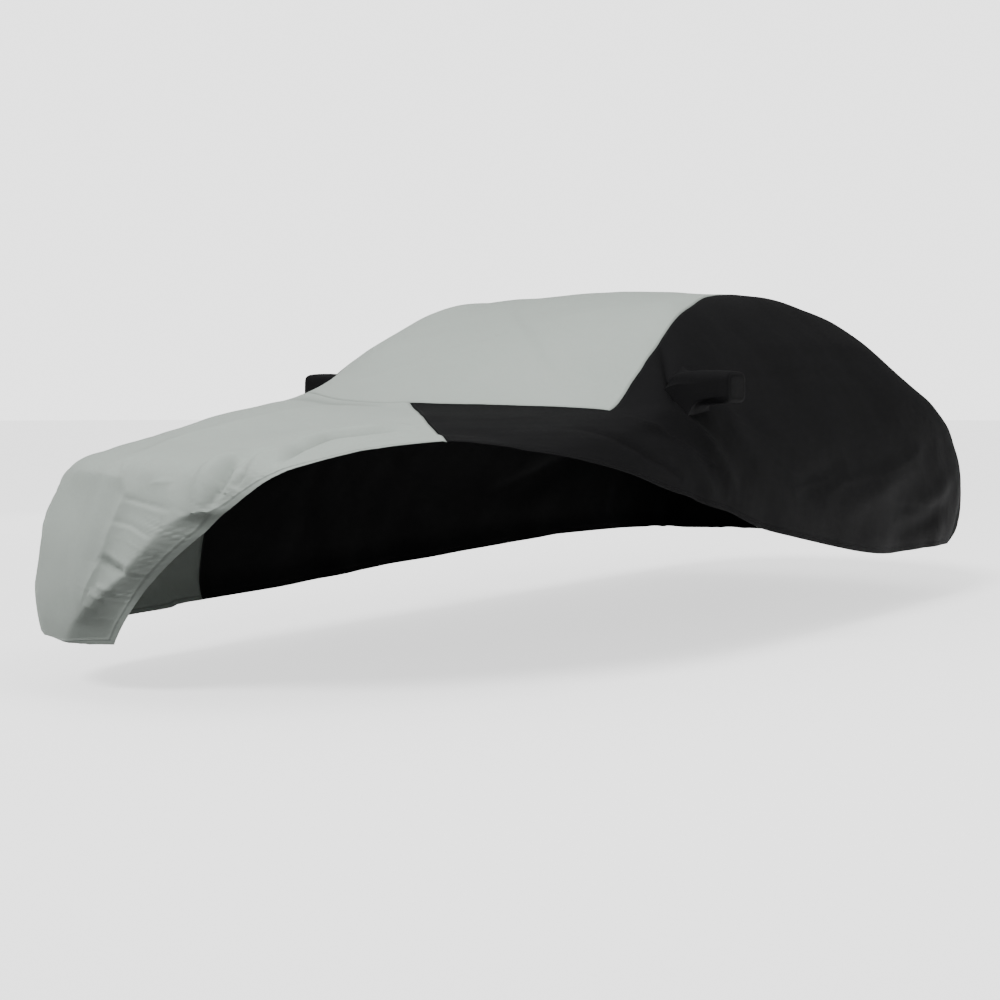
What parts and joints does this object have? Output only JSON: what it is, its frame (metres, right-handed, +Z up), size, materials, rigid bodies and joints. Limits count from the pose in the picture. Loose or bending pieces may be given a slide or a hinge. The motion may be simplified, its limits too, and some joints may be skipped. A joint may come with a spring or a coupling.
{
  "type": "fitted car cover",
  "caption": "Fitted two-tone cloth cover for a full-size saloon, hollow, with a pocket for each door mirror, drawn back over its front left corner.",
  "frame": {"origin": "on the underside of the roof cloth, on the centreline, where the car under the cover carries it; the ground is 1.5175 m below", "axes": "+X to the cover's left side, -Y towards its front, +Z up"},
  "size_m": [2.136, 5.1995, 1.3452],
  "materials": {
    "grey_cloth": "matt knitted cloth, light grey with a green cast, with a fine staggered raised weave",
    "black_cloth": "matt knitted cloth, black, with the same fine weave"
  },
  "bodies": {
    "root": {"front_panel": "grey_cloth", "top_panel": "grey_cloth", "rear_panel": "grey_cloth", "left_panel": "black_cloth", "right_panel": "black_cloth", "left_mirror_pocket": "black_cloth", "right_mirror_pocket": "black_cloth"}
  },
  "joints": []
}
